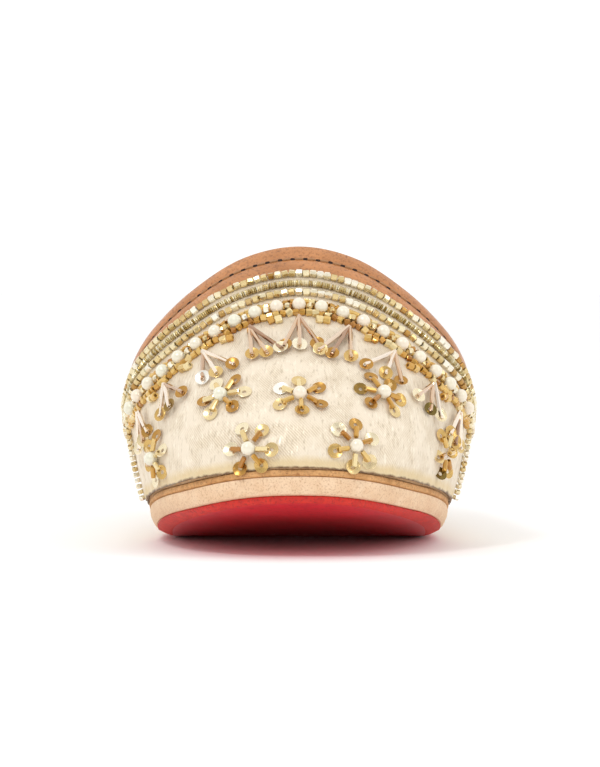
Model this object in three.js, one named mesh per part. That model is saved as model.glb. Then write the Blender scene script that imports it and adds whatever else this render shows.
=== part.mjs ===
// A mojari: a flat slip-on leather shoe with a broad round toe, a high vamp and a closed back.
// It is built on a straight last, so either foot can wear it.
// Millimetres, +Z up, the toe points along -Y. "Station" is the distance back from the sole's toe end.
// The sole is three bent plates: outsole, midsole and insole. The upper is one hollow wall, open at
// the collar and underneath, and the leather band round the collar stands on its top edge.
import * as THREE from 'three';
import { ParametricGeometry } from 'three/addons/geometries/ParametricGeometry.js';
import { mergeVertices } from 'three/addons/utils/BufferGeometryUtils.js';

// ---- Driving dimensions ----------------------------------------------------------------------
const SOLE_LENGTH = 281;
const BALL_STATION = 90; // where the sole is widest
const BALL_HALF_WIDTH = 42.5;
const HEEL_STATION = 236; // where the round of the heel starts
const HEEL_HALF_WIDTH = 32;
const TOE_FULLNESS = 2.4; // exponent of the toe's outline: 2 is an ellipse, more is squarer
const HEEL_FULLNESS = 2.3;

const TOE_RAMP = 0.14; // slope of the sole under the toes
const RAMP_END = 85; // the straight ramp stops here and eases into the tread
const TREAD_START = 115;
const TIP_CURL = 1.9; // extra lift right at the tip, over the first stretch of the sole
const CURL_LENGTH = 25;
const ARCH_START = 135;
const ARCH_END = 207;
const ARCH_RISE = 1.5;

const GAP = 0.3; // between pieces that meet
const OUTSOLE_THICKNESS = 1.8;
const MIDSOLE_THICKNESS = 4.9;
const INSOLE_THICKNESS = 1.4;
const MIDSOLE_MARGIN = 1.9; // how far each layer stands outside the outsole's outline
const INSOLE_MARGIN = 2.3;
const UPPER_MARGIN = 3.4;

const UPPER_WALL = 2.6; // leather with its fabric cover
const BAND_WIDTH = 10.4;
const BAND_RECESS = 0.5; // the band lies below the fabric's face by the fabric's thickness
const BAND_WALL = 2;

const AROUND = 80; // facets round the shoe
const UP_THE_WALL = 12; // facets from the sole to the band
const UP_THE_BAND = 2;

// ---- The last: meridians that run from the sole's edge up to the collar ------------------------
// foot   how far round the sole's edge the meridian starts, toe 0 to heel 1
// out    the lower handle of its curve, outwards from the sole's edge, and up
// x, station, z   where it meets the collar
// dx, ds, dz      the upper handle, from the collar
const MERIDIANS = [
  { foot: 0.000, out: 4.0, up: 16, x: 0.0, station: 63.5, z: 89.3, dx: 0.0, ds: -28, dz: -28 },
  { foot: 0.082, out: 4.2, up: 17, x: 17.0, station: 64.0, z: 85.7, dx: 4.0, ds: -28, dz: -28 },
  { foot: 0.165, out: 4.6, up: 18, x: 31.8, station: 65.5, z: 76.3, dx: 7.0, ds: -25, dz: -25.5 },
  { foot: 0.250, out: 5.0, up: 18, x: 43.3, station: 68.0, z: 65.1, dx: 6.0, ds: -19, dz: -19 },
  { foot: 0.335, out: 5.0, up: 17, x: 49.3, station: 73.0, z: 56.0, dx: 3.0, ds: -12, dz: -15.5 },
  { foot: 0.425, out: 4.8, up: 15, x: 51.1, station: 84.0, z: 49.7, dx: 1.2, ds: -6, dz: -14 },
  { foot: 0.520, out: 4.8, up: 15, x: 50.0, station: 110.0, z: 46.0, dx: 1.0, ds: -3, dz: -14 },
  { foot: 0.620, out: 4.6, up: 15, x: 45.8, station: 158.0, z: 45.0, dx: 1.0, ds: -2, dz: -14 },
  { foot: 0.720, out: 4.2, up: 15, x: 39.5, station: 206.0, z: 46.5, dx: 0.8, ds: 0, dz: -14 },
  { foot: 0.815, out: 3.5, up: 16, x: 32.5, station: 245.0, z: 50.0, dx: 1.5, ds: 1, dz: -15 },
  { foot: 0.910, out: 3.5, up: 17, x: 19.5, station: 270.0, z: 55.5, dx: 1.5, ds: 3, dz: -16 },
  { foot: 1.000, out: 3.5, up: 18, x: 0.0, station: 278.0, z: 58.0, dx: 0.0, ds: 4.5, dz: -17 },
];

// ---- The sole's outline and its rise -----------------------------------------------------------
// One side of the outline, from the toe's tip to the back of the heel, as points (x, station).
class SoleSide extends THREE.Curve {
  constructor() {
    super();
    this.arcLengthDivisions = 600;
    const reach = HEEL_STATION - BALL_STATION;
    this.waist = new THREE.CubicBezierCurve(
      new THREE.Vector2(BALL_HALF_WIDTH, BALL_STATION),
      new THREE.Vector2(BALL_HALF_WIDTH, BALL_STATION + reach * 0.35),
      new THREE.Vector2(HEEL_HALF_WIDTH, HEEL_STATION - reach * 0.45),
      new THREE.Vector2(HEEL_HALF_WIDTH, HEEL_STATION),
    );
  }

  getPoint(t, target = new THREE.Vector2()) {
    if (t < 1 / 3) {
      const angle = (t * 3 * Math.PI) / 2;
      return roundEnd(angle, BALL_HALF_WIDTH, BALL_STATION, TOE_FULLNESS, target);
    }
    if (t <= 2 / 3) return this.waist.getPoint(t * 3 - 1, target);
    const angle = ((1 - t) * 3 * Math.PI) / 2;
    roundEnd(angle, HEEL_HALF_WIDTH, SOLE_LENGTH - HEEL_STATION, HEEL_FULLNESS, target);
    target.y = SOLE_LENGTH - target.y;
    return target;
  }
}

// A quarter of a superellipse: angle 0 is the tip, a right angle is the full half width.
function roundEnd(angle, halfWidth, depth, fullness, target) {
  const across = Math.pow(Math.max(Math.sin(angle), 0), 2 / fullness);
  const along = Math.pow(Math.max(Math.cos(angle), 0), 2 / fullness);
  return target.set(halfWidth * across, depth * (1 - along));
}

const soleSide = new SoleSide();

// The outline moved outwards by a margin; "way" is 0 at the toe and 1 at the heel.
function edgePoint(way, margin) {
  const point = soleSide.getPointAt(way);
  if (way <= 0) return point.set(0, -margin);
  if (way >= 1) return point.set(0, SOLE_LENGTH + margin);
  const tangent = soleSide.getTangentAt(way);
  return point.set(point.x + tangent.y * margin, point.y - tangent.x * margin);
}

// Height of the sole's underside above the floor.
function rise(station) {
  const ease = TREAD_START - RAMP_END;
  let height = 0;
  if (station < RAMP_END) {
    height = TOE_RAMP * (ease / 2 + RAMP_END - station);
  } else if (station < TREAD_START) {
    height = (TOE_RAMP * (TREAD_START - station) ** 2) / (2 * ease);
  } else if (station > ARCH_START && station < ARCH_END) {
    const way = (station - ARCH_START) / (ARCH_END - ARCH_START);
    height = ARCH_RISE * Math.sin(Math.PI * way) ** 2;
  }
  const curl = Math.max(CURL_LENGTH - station, 0) / CURL_LENGTH;
  return height + TIP_CURL * curl * curl;
}

const MIDSOLE_BOTTOM = OUTSOLE_THICKNESS + GAP;
const INSOLE_BOTTOM = MIDSOLE_BOTTOM + MIDSOLE_THICKNESS + GAP;
const FEATHER = INSOLE_BOTTOM + INSOLE_THICKNESS + GAP; // where the upper starts

// ---- The upper's outer face --------------------------------------------------------------------
// Catmull-Rom through one number of the table; past the toe and heel the last is mirrored.
function along(rows, key, position, odd) {
  const last = rows.length - 1;
  const value = (index) => {
    if (index < 0) return rows[-index][key] * (odd ? -1 : 1);
    if (index > last) return rows[2 * last - index][key] * (odd ? -1 : 1);
    return rows[index][key];
  };
  const start = Math.min(Math.floor(position), last - 1);
  const t = position - start;
  const [a, b, c, d] = [-1, 0, 1, 2].map((step) => value(start + step));
  return b + 0.5 * t * (c - a + t * (2 * a - 5 * b + 4 * c - d + t * (3 * (b - c) + d - a)));
}

const rows = MERIDIANS.map((row) => {
  const edge = edgePoint(row.foot, UPPER_MARGIN);
  const wide = edgePoint(row.foot, UPPER_MARGIN + row.out);
  const foot = { x: edge.x, station: edge.y, z: rise(edge.y) + FEATHER };
  const low = { x: wide.x, station: wide.y, z: foot.z + row.up };
  const high = { x: row.x + row.dx, station: row.station + row.ds, z: row.z + row.dz };
  return { foot, low, high, collar: row };
});
const guides = ['foot', 'low', 'high', 'collar'].map((name) => rows.map((row) => row[name]));

// A point of the face: "turn" goes 0 to 1 once round the shoe from the toe, "height" 0 to 1 from
// the sole to the collar.
function facePoint(turn, height) {
  const wrapped = turn - Math.floor(turn);
  const side = wrapped <= 0.5 ? 1 : -1;
  const way = 1 - Math.abs(1 - 2 * wrapped);
  const position = way * (MERIDIANS.length - 1);
  const [foot, low, high, collar] = guides.map(
    (guide) =>
      new THREE.Vector3(
        side * along(guide, 'x', position, true),
        along(guide, 'station', position, false),
        along(guide, 'z', position, false),
      ),
  );
  const down = 1 - height;
  return foot
    .multiplyScalar(down ** 3)
    .addScaledVector(low, 3 * down * down * height)
    .addScaledVector(high, 3 * down * height * height)
    .addScaledVector(collar, height ** 3);
}

function faceNormal(turn, height) {
  const step = 0.002;
  const low = Math.max(height - step, 0);
  const high = Math.min(height + step, 1);
  const upward = facePoint(turn, high).sub(facePoint(turn, low));
  const onward = facePoint(turn + step, height).sub(facePoint(turn - step, height));
  return onward.cross(upward).normalize();
}

// The height on a meridian that lies a given distance below the collar, measured on the face.
function heightBelowCollar(turn, distance) {
  const steps = 80;
  let walked = 0;
  let previous = facePoint(turn, 1);
  for (let index = 1; index <= steps; index += 1) {
    const next = facePoint(turn, 1 - index / steps);
    const stride = next.distanceTo(previous);
    if (walked + stride >= distance) return 1 - (index - 1 + (distance - walked) / stride) / steps;
    walked += stride;
    previous = next;
  }
  return 0;
}

// ---- Solids ------------------------------------------------------------------------------------
function closedBody(geometry) {
  geometry.deleteAttribute('normal');
  geometry.deleteAttribute('uv');
  const merged = mergeVertices(geometry, 1e-3);
  const index = merged.getIndex().array;
  const kept = [];
  for (let i = 0; i < index.length; i += 3) {
    const [a, b, c] = [index[i], index[i + 1], index[i + 2]];
    if (a !== b && b !== c && c !== a) kept.push(a, b, c);
  }
  merged.setIndex(kept);
  merged.computeVertexNormals();
  return merged;
}

// A plate with the sole's outline, bent to the sole's rise.
function soleLayer(margin, bottom, thickness) {
  const corners = [[-1, 1], [1, 1], [1, 0], [-1, 0]];
  const shape = (round, way, target) => {
    const edge = edgePoint(way, margin);
    const [side, level] = corners[Math.round(round * 4) % 4];
    target.set(side * edge.x, edge.y, rise(edge.y) + bottom + level * thickness);
  };
  return closedBody(new ParametricGeometry(shape, 4, AROUND / 2));
}

// A wall round the shoe between two levels of the face, from "outer" to "outer + wall" inside it.
function wallRing(bottomAt, topAt, outer, wall, steps) {
  const loop = 2 * steps + 2; // up the outside, over the rim, down the inside and under
  const shape = (turn, round, target) => {
    const spot = Math.round(round * loop) % loop;
    const outside = spot <= steps;
    const part = outside ? spot / steps : (loop - 1 - spot) / steps;
    const [bottom, top] = [bottomAt(turn), topAt(turn)];
    const height = bottom + (top - bottom) * part;
    const depth = outer + (outside ? 0 : wall);
    target.copy(facePoint(turn, height)).addScaledVector(faceNormal(turn, height), -depth);
  };
  return closedBody(new ParametricGeometry(shape, AROUND, loop));
}

function upperWall() {
  const edgeOfBand = (turn) => heightBelowCollar(turn, BAND_WIDTH + GAP);
  return wallRing(() => 0, edgeOfBand, 0, UPPER_WALL, UP_THE_WALL);
}

function toplineBand() {
  const edgeOfBand = (turn) => heightBelowCollar(turn, BAND_WIDTH);
  return wallRing(edgeOfBand, () => 1, BAND_RECESS, BAND_WALL, UP_THE_BAND);
}

// ---- The shoe ----------------------------------------------------------------------------------
const finish = (color, roughness, metalness = 0) =>
  new THREE.MeshStandardMaterial({ color, roughness, metalness });

const PIECES = [
  ['outsole', soleLayer(0, 0, OUTSOLE_THICKNESS), finish('#9c1a26', 0.35)],
  ['midsole', soleLayer(MIDSOLE_MARGIN, MIDSOLE_BOTTOM, MIDSOLE_THICKNESS), finish('#e3bd97', 0.7)],
  ['insole', soleLayer(INSOLE_MARGIN, INSOLE_BOTTOM, INSOLE_THICKNESS), finish('#b07f4f', 0.75)],
  ['upper', upperWall(), finish('#efe2c6', 0.5, 0.1)],
  ['topline_band', toplineBand(), finish('#c08a58', 0.6)],
];

const shoe = new THREE.Group();
shoe.name = 'mojari';
for (const [name, geometry, material] of PIECES) {
  const mesh = new THREE.Mesh(geometry, material);
  mesh.name = name;
  shoe.add(mesh);
}

// The origin lies on the floor below the middle of the shoe's box.
const box = new THREE.Box3().setFromObject(shoe, true);
shoe.position.y = -(box.min.y + box.max.y) / 2;
shoe.updateMatrixWorld(true);

export default shoe;
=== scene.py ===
"""A mojari: a flat slip-on leather shoe with a beaded brocade vamp.

Lengths in this file are millimetres until to_metres. "Station" is the distance back from the tip
of the outsole. A place on the upper is given by its turn, 0 to 1 once round the shoe from the toe,
and its height, 0 at the sole to 1 at the collar.
"""

import math

import bmesh
import bpy
import numpy as np
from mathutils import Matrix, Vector
from mathutils.kdtree import KDTree


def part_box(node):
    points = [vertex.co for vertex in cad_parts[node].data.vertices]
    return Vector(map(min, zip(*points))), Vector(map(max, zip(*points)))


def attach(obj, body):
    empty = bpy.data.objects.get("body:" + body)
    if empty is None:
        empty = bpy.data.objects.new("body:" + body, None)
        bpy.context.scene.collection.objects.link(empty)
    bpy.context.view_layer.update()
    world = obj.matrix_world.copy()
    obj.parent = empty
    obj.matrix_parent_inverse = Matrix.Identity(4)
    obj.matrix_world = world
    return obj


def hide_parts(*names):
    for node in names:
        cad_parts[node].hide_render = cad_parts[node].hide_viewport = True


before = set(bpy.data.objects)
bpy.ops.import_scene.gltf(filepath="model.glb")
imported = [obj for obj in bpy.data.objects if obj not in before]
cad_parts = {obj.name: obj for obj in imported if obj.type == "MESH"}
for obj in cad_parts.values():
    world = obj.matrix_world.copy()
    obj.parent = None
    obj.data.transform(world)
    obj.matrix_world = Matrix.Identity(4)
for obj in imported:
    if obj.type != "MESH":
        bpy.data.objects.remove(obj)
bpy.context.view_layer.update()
STATION_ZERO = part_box("outsole")[0][1] * 1000

# ---- The camera, the floor and the light ----


def new_object(name, data):
    made = bpy.data.objects.new(name, data)
    bpy.context.scene.collection.objects.link(made)
    return made


def aim_from(name, data, place, aim):
    """A camera or lamp, in metres, turned to look at a point."""
    aimed = new_object(name, data)
    aimed.location = place
    aimed.rotation_euler = (Vector(aim) - Vector(place)).to_track_quat("-Z", "Y").to_euler()
    return aimed


def add_light(name, place, width, height, power):
    data = bpy.data.lights.new(name, "AREA")
    data.shape = "RECTANGLE"
    data.size, data.size_y = width, height
    data.energy = power
    aim_from(name, data, place, (0, -0.04, 0.04))


camera = bpy.data.cameras.new("camera")
camera.sensor_fit = "HORIZONTAL"
camera.sensor_width = 36
camera.lens = 257.4
camera.clip_start, camera.clip_end = 0.05, 60
bpy.context.scene.camera = aim_from(
    "camera", camera, (0.0003, -1.347, 0.0794), (0.0003, -0.0495, 0.0472)
)
bpy.context.scene.view_settings.view_transform = "Standard"
add_light("key_softbox", (-0.5, -1.1, 1.15), 0.24, 0.24, 5.0)
add_light("right_strip", (1.1, -0.7, 0.7), 0.12, 0.9, 1.6)
add_light("front_strip", (0.1, -1.6, 0.6), 0.5, 0.06, 1.0)

# ---- The last ----
# The form that the shoe is lasted on. Levels are above the floor where the sole lies flat.
SOLE_LENGTH = 281.0
BALL_STATION, BALL_HALF_WIDTH, TOE_FULLNESS = 90.0, 42.5, 2.4
HEEL_STATION, HEEL_HALF_WIDTH, HEEL_FULLNESS = 236.0, 32.0, 2.3
TOE_RAMP, RAMP_END, TREAD_START = 0.14, 85.0, 115.0
TIP_CURL, CURL_LENGTH = 1.9, 25.0
ARCH_START, ARCH_END, ARCH_RISE = 135.0, 207.0, 1.5
MIDSOLE_BOTTOM, FEATHER = 2.1, 9.0  # the feather is the line where the upper starts
UPPER_MARGIN = 3.4  # how far outside the outsole that line is
BAND_WIDTH, BAND_RECESS, BAND_WALL = 10.4, 0.5, 2.0
MERIDIANS = (
    # foot, out, up, then the collar's x, station and z, then the upper handle
    (0, 4, 16, 0, 63.5, 89.3, 0, -28, -28),
    (0.082, 4.2, 17, 17, 64, 85.7, 4, -28, -28),
    (0.165, 4.6, 18, 31.8, 65.5, 76.3, 7, -25, -25.5),
    (0.25, 5, 18, 43.3, 68, 65.1, 6, -19, -19),
    (0.335, 5, 17, 49.3, 73, 56, 3, -12, -15.5),
    (0.425, 4.8, 15, 51.1, 84, 49.7, 1.2, -6, -14),
    (0.52, 4.8, 15, 50, 110, 46, 1, -3, -14),
    (0.62, 4.6, 15, 45.8, 158, 45, 1, -2, -14),
    (0.72, 4.2, 15, 39.5, 206, 46.5, 0.8, 0, -14),
    (0.815, 3.5, 16, 32.5, 245, 50, 1.5, 1, -15),
    (0.91, 3.5, 17, 19.5, 270, 55.5, 1.5, 3, -16),
    (1, 3.5, 18, 0, 278, 58, 0, 4.5, -17),
)
MIRROR = np.array([-1.0, 1.0, 1.0])


def bezier(handles, t):
    rest = 1 - t
    a, b, c, d = handles
    return rest**3 * a + 3 * rest * rest * t * b + 3 * rest * t * t * c + t**3 * d


def unit(vectors):
    return vectors / np.linalg.norm(vectors, axis=-1, keepdims=True)


def walk(points):
    """The distance walked along each line of points, from 0."""
    steps = np.linalg.norm(np.diff(points, axis=-2), axis=-1)
    return np.concatenate([np.zeros_like(steps[..., :1]), np.cumsum(steps, axis=-1)], -1)


def round_end(angle, half_width, depth, fullness):
    across = half_width * np.maximum(np.sin(angle), 0) ** (2 / fullness)
    along = depth * (1 - np.maximum(np.cos(angle), 0) ** (2 / fullness))
    return np.stack([across, along], -1)


def sole_side():
    """One side of the outsole's outline as (x, station), with the way along it from 0 to 1."""
    t = np.linspace(0, 1, 900)
    toe = round_end(t * math.pi / 2, BALL_HALF_WIDTH, BALL_STATION, TOE_FULLNESS)
    reach = HEEL_STATION - BALL_STATION
    stations = (BALL_STATION, BALL_STATION + 0.35 * reach, HEEL_STATION - 0.45 * reach,
                HEEL_STATION)
    half_widths = [BALL_HALF_WIDTH] * 2 + [HEEL_HALF_WIDTH] * 2
    waist = bezier(np.array([half_widths, stations]).T, t[:, None])
    depth = SOLE_LENGTH - HEEL_STATION
    heel = round_end(t[::-1] * math.pi / 2, HEEL_HALF_WIDTH, depth, HEEL_FULLNESS)
    heel[:, 1] = SOLE_LENGTH - heel[:, 1]
    line = np.concatenate([toe, waist[1:], heel[1:]])
    way = walk(line)
    return way / way[-1], line


SIDE_WAY, SIDE_LINE = sole_side()


def edge_point(way, margin):
    """The outline moved outwards by a margin, as (x, station)."""
    way, margin = np.broadcast_arrays(np.asarray(way, float), np.asarray(margin, float))

    def outline(at):
        return np.stack([np.interp(at, SIDE_WAY, SIDE_LINE[:, i]) for i in (0, 1)], -1)

    step = 0.002
    tangent = unit(outline(np.clip(way + step, 0, 1)) - outline(np.clip(way - step, 0, 1)))
    outwards = np.stack([tangent[..., 1], -tangent[..., 0]], -1)
    outwards = np.where(way[..., None] <= 0, [0.0, -1.0], outwards)
    outwards = np.where(way[..., None] >= 1, [0.0, 1.0], outwards)
    return outline(way) + margin[..., None] * outwards


def rise(station):
    """Height of the sole's underside above the floor."""
    station = np.asarray(station, float)
    blend = TREAD_START - RAMP_END
    ramp = TOE_RAMP * (blend / 2 + RAMP_END - station)
    levelling = TOE_RAMP * (TREAD_START - station) ** 2 / (2 * blend)
    way = (station - ARCH_START) / (ARCH_END - ARCH_START)
    arch = ARCH_RISE * np.sin(math.pi * np.clip(way, 0, 1)) ** 2
    height = np.where(station < RAMP_END, ramp, np.where(station < TREAD_START, levelling, arch))
    curl = np.maximum(CURL_LENGTH - station, 0) / CURL_LENGTH
    return height + TIP_CURL * curl**2


def guide_rows():
    foot, out, up, x, station, z, dx, ds, dz = np.array(MERIDIANS, float).T
    edge, wide = edge_point(foot, UPPER_MARGIN), edge_point(foot, UPPER_MARGIN + out)
    foot_z = rise(edge[:, 1]) + FEATHER
    return np.array([
        np.stack([edge[:, 0], edge[:, 1], foot_z], 1),
        np.stack([wide[:, 0], wide[:, 1], foot_z + up], 1),
        np.stack([x + dx, station + ds, z + dz], 1),
        np.stack([x, station, z], 1),
    ])


GUIDES = guide_rows()
PADDED_GUIDES = np.concatenate([GUIDES[:, 1:2] * MIRROR, GUIDES, GUIDES[:, -2:-1] * MIRROR], 1)


def face(turn, height):
    """The upper's outer face."""
    turn, height = np.broadcast_arrays(np.asarray(turn, float), np.asarray(height, float))
    turn = turn - np.floor(turn)
    side = np.where(turn <= 0.5, 1.0, -1.0)
    position = (1 - np.abs(1 - 2 * turn)) * (len(MERIDIANS) - 1)
    start = np.minimum(np.floor(position), len(MERIDIANS) - 2).astype(int)
    t = (position - start)[..., None]
    handles = []
    for row in PADDED_GUIDES:
        a, b, c, d = (row[start + k] for k in range(4))
        bend = t * (2 * a - 5 * b + 4 * c - d + t * (3 * (b - c) + d - a))
        handles.append(b + 0.5 * t * (c - a + bend))
    point = bezier(handles, height[..., None])
    point[..., 0] *= side
    return point


def face_frame(turn, height):
    """Point, way round, way up and outward normal at a place on the face."""
    step = 0.002
    turn, height = np.broadcast_arrays(np.asarray(turn, float), np.asarray(height, float))
    low, high = np.clip(height - step, 0, 1), np.clip(height + step, 0, 1)
    up = face(turn, high) - face(turn, low)
    onward = face(turn + step, height) - face(turn - step, height)
    normal = unit(np.cross(onward, up))
    return face(turn, height), onward / (2 * step), up / (high - low)[..., None], normal


def height_below_collar(turn, distance):
    """The height that lies a distance below the collar, measured down the meridian."""
    turn = np.atleast_1d(np.asarray(turn, float))
    levels = np.linspace(1, 0, 161)
    walked = walk(face(turn[:, None], levels))
    distance = np.broadcast_to(distance, turn.shape)
    return np.array([np.interp(d, w, levels) for d, w in zip(distance, walked)])


def band_edge_tree():
    turns = np.linspace(0, 1, 1200, endpoint=False)
    edge = face(turns, height_below_collar(turns, BAND_WIDTH))
    tree = KDTree(len(edge))
    for index, point in enumerate(edge):
        tree.insert(point, index)
    tree.balance()
    return tree


BAND_EDGE = band_edge_tree()


def height_below_band(turn, distance):
    """The height that lies a distance from the band's lower edge, measured square to the edge."""
    turn = np.atleast_1d(np.asarray(turn, float))
    distance = np.broadcast_to(distance, turn.shape)
    tops = height_below_collar(turn, BAND_WIDTH)
    found = []
    for one_turn, top, wanted in zip(turn, tops, distance):
        levels = np.linspace(top, max(top - 0.75, 0), 60)
        gaps = [BAND_EDGE.find(point)[2] for point in face(one_turn, levels)]
        found.append(np.interp(wanted, np.maximum.accumulate(gaps), levels))
    return np.array(found)


def shifted_place(turn, height, onward_mm, up_mm):
    """The place reached by walking over the face, onward round the shoe and up the wall."""
    _, onward, up, normal = face_frame(turn, height)
    level = unit(onward)
    climb = np.cross(normal, level)
    wanted = level * onward_mm + climb * up_mm
    steps = np.linalg.lstsq(np.stack([onward, up], 1), wanted, rcond=None)[0]
    return turn + steps[0], float(np.clip(height + steps[1], 0, 1))


def to_metres(points):
    moved = np.array(points, float)
    moved[..., 1] += STATION_ZERO
    return moved * 0.001


def ease(value, start, end):
    way = np.clip((np.asarray(value, float) - start) / (end - start), 0, 1)
    return way * way * (3 - 2 * way)

# ---- Materials ----


def colour(code):
    """An sRGB hex code as linear RGBA."""
    values = [int(code[i:i + 2], 16) / 255 for i in (1, 3, 5)]
    linear = [v / 12.92 if v <= 0.04045 else ((v + 0.055) / 1.055) ** 2.4 for v in values]
    return (*linear, 1.0)


def add(tree, kind, inputs=None, **settings):
    """Adds a node; each input is a value, a hex colour or another node's output."""
    node = tree.nodes.new(kind)
    for key, value in settings.items():
        setattr(node, key, value)
    for key, source in (inputs or {}).items():
        if isinstance(source, bpy.types.NodeSocket):
            tree.links.new(source, node.inputs[key])
        elif isinstance(source, str) and source.startswith("#"):
            node.inputs[key].default_value = colour(source)
        else:
            node.inputs[key].default_value = source
    return node


def start_material(name, code, roughness, **values):
    material = bpy.data.materials.new(name)
    material.use_nodes = True
    tree = material.node_tree
    shader = tree.nodes["Principled BSDF"]
    shader.inputs["Base Color"].default_value = colour(code)
    shader.inputs["Roughness"].default_value = roughness
    for key, value in values.items():
        shader.inputs[key.replace("_", " ")].default_value = value
    return material, tree, shader


PER_MM = 1000.0  # a texture scale of 1 repeats once a metre
WAVE_BANDS = 0.314  # a wave texture's scale for one band a metre


def brocade(name):
    """Zari brocade, woven on a jacquard loom: cream silk ground with champagne metal floats.

    A fine diagonal twill shows as hatching, the floats carry short paler streaks of painted
    highlight, and the cloth is drawn smooth and dull where it turns under at the sole.
    """
    rib_mm, patch_mm, float_mm, fray_mm = 0.65, 7, 0.85, 2.5
    material, tree, shader = start_material(
        name, "#F1E7D3", 0.5, Sheen_Weight=0.25, Sheen_Roughness=0.4
    )
    shader.inputs["Sheen Tint"].default_value = colour("#FFF4E0")
    place = add(tree, "ShaderNodeUVMap", uv_map="cloth").outputs[0]
    # Twill ribs of 0.4 mm, drawn wider so that they show.
    turned = add(
        tree, "ShaderNodeMapping", {"Vector": place, "Rotation": (0, 0, math.radians(-38))}
    )
    twill = add(
        tree, "ShaderNodeTexWave",
        {"Vector": turned.outputs[0], "Scale": WAVE_BANDS * PER_MM / rib_mm, "Distortion": 1.2,
         "Detail": 2.0, "Detail Scale": 3.0},
        bands_direction="X",
    )
    # Patches where the ground weave shows, and short floats, four times as long as wide.
    patches = add(
        tree, "ShaderNodeTexNoise", {"Vector": place, "Scale": PER_MM / patch_mm, "Detail": 3.0}
    ).outputs[0]
    stretched = add(tree, "ShaderNodeMapping", {"Vector": place, "Scale": (1.0, 0.25, 1.0)})
    floats = add(
        tree, "ShaderNodeTexNoise",
        {"Vector": stretched.outputs[0], "Scale": PER_MM / float_mm, "Detail": 2.0,
         "Roughness": 0.6},
    ).outputs[0]
    # The height above the sole, in metres, with a ragged border.
    split = add(tree, "ShaderNodeSeparateXYZ", {0: place})
    ragged = add(
        tree, "ShaderNodeTexNoise", {"Vector": place, "Scale": PER_MM / fray_mm, "Detail": 4.0}
    )
    frayed = add(
        tree, "ShaderNodeMath", {0: ragged.outputs[0], 1: 0.0016, 2: split.outputs[1]},
        operation="MULTIPLY_ADD",
    ).outputs[0]
    ramps = {}
    for label, source, low, high, start, end in (
        ("ground", patches, 0.42, 0.62, 0.1, 0.75),
        # The paler streaks over the floats are a painted highlight.
        ("painted_glints", floats, 0.56, 0.7, 0.0, 1.0),
        ("specks", floats, 0.32, 0.42, 0.38, 0.0),
        ("satin strip", frayed, 0.0026, 0.0046, 0.85, 0.0),
        ("frayed edge", frayed, 0.0009, 0.0015, 1.0, 0.0),
        ("metal", floats, 0.45, 0.75, 0.03, 0.45),
        ("dullness", floats, 0.4, 0.7, 0.6, 0.32),
    ):
        ramps[label] = add(
            tree, "ShaderNodeMapRange",
            {"Value": source, "From Min": low, "From Max": high, "To Min": start, "To Max": end},
        ).outputs[0]
    hatch = add(
        tree, "ShaderNodeMath", {0: twill.outputs[1], 1: ramps["ground"]}, operation="MULTIPLY"
    ).outputs[0]
    shade = "#EFE1CB"
    for part, code in (
        (hatch, "#CDB897"), (ramps["painted_glints"], "#F8EDD8"), (ramps["specks"], "#A08C68"),
        (ramps["satin strip"], "#E0C898"), (ramps["frayed edge"], "#6B4A2C"),
    ):
        shade = add(
            tree, "ShaderNodeMix", {0: part, 6: shade, 7: code}, data_type="RGBA"
        ).outputs[2]
    relief = add(
        tree, "ShaderNodeMath", {0: hatch, 1: 0.55, 2: floats}, operation="MULTIPLY_ADD"
    )
    bump = add(
        tree, "ShaderNodeBump",
        {"Height": relief.outputs[0], "Strength": 0.55, "Distance": 0.00035},
    )
    for key, source in (
        ("Base Color", shade), ("Metallic", ramps["metal"]), ("Roughness", ramps["dullness"]),
        ("Normal", bump.outputs[0]),
    ):
        tree.links.new(source, shader.inputs[key])
    return material


def leather(name, codes, grain_mm, roughness, depth_mm, patch_mm=9.0, **values):
    """Vegetable-tanned leather: pores and fine wrinkles of the given size over cloudy colour."""
    material, tree, shader = start_material(name, codes[0], roughness, **values)
    place = add(tree, "ShaderNodeTexCoord").outputs["Object"]
    clouds = add(
        tree, "ShaderNodeTexNoise", {"Vector": place, "Scale": PER_MM / patch_mm, "Detail": 3.0}
    ).outputs[0]
    grain = add(
        tree, "ShaderNodeTexNoise",
        {"Vector": place, "Scale": PER_MM / grain_mm, "Detail": 4.0, "Roughness": 0.65},
    ).outputs[0]
    shade = codes[0]
    for source, low, high, start, end, code in (
        (clouds, 0.35, 0.65, 0.0, 1.0, codes[1]), (grain, 0.3, 0.5, 0.75, 0.0, codes[2]),
    ):
        part = add(
            tree, "ShaderNodeMapRange",
            {"Value": source, "From Min": low, "From Max": high, "To Min": start, "To Max": end},
        )
        shade = add(
            tree, "ShaderNodeMix", {0: part.outputs[0], 6: shade, 7: code}, data_type="RGBA"
        ).outputs[2]
    bump = add(
        tree, "ShaderNodeBump", {"Height": grain, "Strength": 0.6, "Distance": depth_mm * 0.001}
    )
    tree.links.new(shade, shader.inputs["Base Color"])
    tree.links.new(bump.outputs[0], shader.inputs["Normal"])
    return material


def tinted(name, codes, roughness, **values):
    """A finish that runs through its colours by each bead's own tint, 0 to 1."""
    material, tree, shader = start_material(name, codes[0], roughness, **values)
    tint = add(tree, "ShaderNodeAttribute", attribute_name="tint").outputs["Fac"]
    result, gaps = codes[0], len(codes) - 1
    for index, code in enumerate(codes[1:]):
        step = add(
            tree, "ShaderNodeMapRange",
            {"Value": tint, "From Min": (index + 0.35) / gaps, "From Max": (index + 0.65) / gaps},
        )
        result = add(
            tree, "ShaderNodeMix", {0: step.outputs[0], 6: result, 7: code}, data_type="RGBA"
        ).outputs[2]
    tree.links.new(result, shader.inputs["Base Color"])
    return material


# Zari brocade of cream silk with champagne metal thread, woven on a jacquard loom.
CLOTH = brocade("brocade_cream_champagne")
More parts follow.
